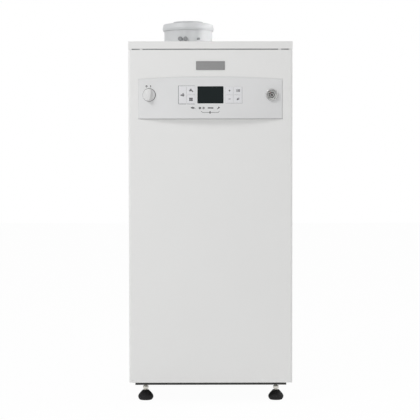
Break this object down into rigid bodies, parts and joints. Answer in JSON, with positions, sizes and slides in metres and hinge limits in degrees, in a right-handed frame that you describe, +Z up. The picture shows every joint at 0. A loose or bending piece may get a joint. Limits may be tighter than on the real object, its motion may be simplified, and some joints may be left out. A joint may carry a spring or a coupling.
{
  "type": "floor standing gas boiler",
  "caption": "Tall white steel cabinet boiler on levelling feet, with a tilting control fascia, a lift-off front panel, a coaxial flue collar on top and rear water and gas pipes.",
  "frame": {"origin": "on the floor, under the middle of the overall width and depth", "axes": "+Z up; -Y towards the front panel and control fascia; +X to the right seen from the front"},
  "size_m": [0.57, 0.691, 1.364],
  "materials": {
    "white_coat": "fine textured white powder coat, satin",
    "base_paint": "dark grey paint, satin",
    "galvanised_steel": "bare galvanised sheet",
    "zinc": "zinc plated",
    "foot_rubber": "matt black",
    "fascia_plastic": "light grey, fine satin texture",
    "key_plastic": "light grey membrane key",
    "knob_plastic": "light grey, satin",
    "black_plastic": "black, satin",
    "display_glass": "near black gloss display window",
    "circuit_board": "green solder mask",
    "gauge_chrome": "bright bezel",
    "gauge_dial": "dark grey dial",
    "gauge_glass": "clear lens",
    "needle_paint": "red",
    "lever_paint": "red",
    "boiler_steel": "stainless steel",
    "cast_aluminium": "as cast",
    "insulation_foam": "dark grey insulation",
    "flue_plastic": "light grey flue plastic",
    "pipe_steel": "steel pipe",
    "valve_brass": "machined brass",
    "siphon_plastic": "grey polypropylene"
  },
  "bodies": {
    "casing": {"base_tray": "base_paint", "front_left_post": "galvanised_steel", "front_right_post": "galvanised_steel", "rear_left_post": "galvanised_steel", "rear_right_post": "galvanised_steel", "top_front_rail": "galvanised_steel", "top_rear_rail": "galvanised_steel", "left_side_panel": "white_coat", "right_side_panel": "white_coat", "back_panel": "galvanised_steel", "top_cover": "white_coat", "boiler_vessel": "boiler_steel", "insulation_jacket": "insulation_foam", "vessel_stand": "galvanised_steel", "flue_sump": "cast_aluminium", "flue_riser": "flue_plastic", "flue_inner_socket": "flue_plastic", "flue_collar": "flue_plastic", "burner_tube": "boiler_steel", "burner_hood": "cast_aluminium", "fan_housing": "cast_aluminium", "fan_motor": "black_plastic", "venturi": "cast_aluminium", "air_intake_pipe": "black_plastic", "gas_valve": "cast_aluminium", "gas_pipe": "pipe_steel", "flow_pipe": "pipe_steel", "return_pipe": "pipe_steel", "drain_cock": "valve_brass", "condensate_siphon": "siphon_plastic"},
    "front_panel": {"front_panel": "white_coat", "front_panel_head": "white_coat"},
    "control_unit": {"control_fascia": "fascia_plastic", "control_box": "black_plastic", "circuit_board": "circuit_board", "display_board": "circuit_board", "display_window": "display_glass", "main_switch_body": "black_plastic", "gauge_case": "gauge_chrome", "gauge_dial": "gauge_dial", "gauge_lens": "gauge_glass"},
    "main_switch_knob": {"main_switch_knob": "knob_plastic"},
    "gauge_needle": {"gauge_needle": "needle_paint"},
    "mode_key": {"mode_key": "key_plastic"},
    "heating_key": {"heating_key": "key_plastic"},
    "hot_water_key": {"hot_water_key": "key_plastic"},
    "minus_key": {"minus_key": "key_plastic"},
    "plus_key": {"plus_key": "key_plastic"},
    "enter_key": {"enter_key": "key_plastic"},
    "menu_key": {"menu_key": "key_plastic"},
    "foot_front_left": {"foot_pad_front_left": "foot_rubber"},
    "foot_front_right": {"foot_pad_front_right": "foot_rubber"},
    "foot_rear_left": {"foot_pad_rear_left": "foot_rubber"},
    "foot_rear_right": {"foot_pad_rear_right": "foot_rubber"},
    "stud_front_left": {"foot_stud_front_left": "zinc"},
    "stud_front_right": {"foot_stud_front_right": "zinc"},
    "stud_rear_left": {"foot_stud_rear_left": "zinc"},
    "stud_rear_right": {"foot_stud_rear_right": "zinc"},
    "fan_impeller": {"fan_impeller": "black_plastic"},
    "drain_lever": {"drain_lever": "lever_paint"}
  },
  "joints": [
    {"name": "front_panel_pull", "type": "slide", "parent": "casing", "child": "front_panel", "axis": [0, -1, 0], "range_m": [0, 0.3]},
    {"name": "control_unit_tilt", "type": "hinge", "parent": "casing", "child": "control_unit", "pos_m": [0, -0.325, 0.9875], "axis": [1, 0, 0], "range_deg": [0, 90]},
    {"name": "main_switch_turn", "type": "hinge", "parent": "control_unit", "child": "main_switch_knob", "pos_m": [-0.213, -0.335, 1.0714], "axis": [0, -1, 0], "range_deg": [0, 27]},
    {"name": "gauge_needle_turn", "type": "hinge", "parent": "control_unit", "child": "gauge_needle", "pos_m": [0.213, -0.328, 1.0714], "axis": [0, 1, 0], "range_deg": [-100, 170]},
    {"name": "mode_key_press", "type": "slide", "parent": "control_unit", "child": "mode_key", "axis": [0, 1, 0], "range_m": [0, 0.0012], "stiffness_N_per_m": 400, "springref_m": -0.002},
    {"name": "heating_key_press", "type": "slide", "parent": "control_unit", "child": "heating_key", "axis": [0, 1, 0], "range_m": [0, 0.0012], "stiffness_N_per_m": 400, "springref_m": -0.002},
    {"name": "hot_water_key_press", "type": "slide", "parent": "control_unit", "child": "hot_water_key", "axis": [0, 1, 0], "range_m": [0, 0.0012], "stiffness_N_per_m": 400, "springref_m": -0.002},
    {"name": "minus_key_press", "type": "slide", "parent": "control_unit", "child": "minus_key", "axis": [0, 1, 0], "range_m": [0, 0.0012], "stiffness_N_per_m": 400, "springref_m": -0.002},
    {"name": "plus_key_press", "type": "slide", "parent": "control_unit", "child": "plus_key", "axis": [0, 1, 0], "range_m": [0, 0.0012], "stiffness_N_per_m": 400, "springref_m": -0.002},
    {"name": "enter_key_press", "type": "slide", "parent": "control_unit", "child": "enter_key", "axis": [0, 1, 0], "range_m": [0, 0.0012], "stiffness_N_per_m": 400, "springref_m": -0.002},
    {"name": "menu_key_press", "type": "slide", "parent": "control_unit", "child": "menu_key", "axis": [0, 1, 0], "range_m": [0, 0.0012], "stiffness_N_per_m": 400, "springref_m": -0.002},
    {"name": "foot_front_left_level", "type": "slide", "parent": "casing", "child": "foot_front_left", "axis": [0, 0, 1], "range_m": [-0.01, 0.01]},
    {"name": "foot_front_right_level", "type": "slide", "parent": "casing", "child": "foot_front_right", "axis": [0, 0, 1], "range_m": [-0.01, 0.01]},
    {"name": "foot_rear_left_level", "type": "slide", "parent": "casing", "child": "foot_rear_left", "axis": [0, 0, 1], "range_m": [-0.01, 0.01]},
    {"name": "foot_rear_right_level", "type": "slide", "parent": "casing", "child": "foot_rear_right", "axis": [0, 0, 1], "range_m": [-0.01, 0.01]},
    {"name": "stud_front_left_turn", "type": "hinge", "parent": "foot_front_left", "child": "stud_front_left", "pos_m": [-0.23, -0.2655, 0.05], "axis": [0, 0, 1], "range_deg": [-2060, 2060]},
    {"name": "stud_front_right_turn", "type": "hinge", "parent": "foot_front_right", "child": "stud_front_right", "pos_m": [0.23, -0.2655, 0.05], "axis": [0, 0, 1], "range_deg": [-2060, 2060]},
    {"name": "stud_rear_left_turn", "type": "hinge", "parent": "foot_rear_left", "child": "stud_rear_left", "pos_m": [-0.23, 0.2575, 0.05], "axis": [0, 0, 1], "range_deg": [-2060, 2060]},
    {"name": "stud_rear_right_turn", "type": "hinge", "parent": "foot_rear_right", "child": "stud_rear_right", "pos_m": [0.23, 0.2575, 0.05], "axis": [0, 0, 1], "range_deg": [-2060, 2060]},
    {"name": "fan_spin", "type": "hinge", "parent": "casing", "child": "fan_impeller", "pos_m": [-0.02473, -0.06, 1.0639], "axis": [0, 1, 0], "continuous": true},
    {"name": "drain_lever_turn", "type": "hinge", "parent": "casing", "child": "drain_lever", "pos_m": [0.06, -0.2703, 0.29], "axis": [0, 0, 1], "range_deg": [-90, 0]}
  ],
  "couplings": [
    {"joint": "stud_front_left_turn", "follows": "foot_front_left_level", "rad_per_m": 3590.4},
    {"joint": "stud_front_right_turn", "follows": "foot_front_right_level", "rad_per_m": 3590.4},
    {"joint": "stud_rear_left_turn", "follows": "foot_rear_left_level", "rad_per_m": 3590.4},
    {"joint": "stud_rear_right_turn", "follows": "foot_rear_right_level", "rad_per_m": 3590.4}
  ]
}
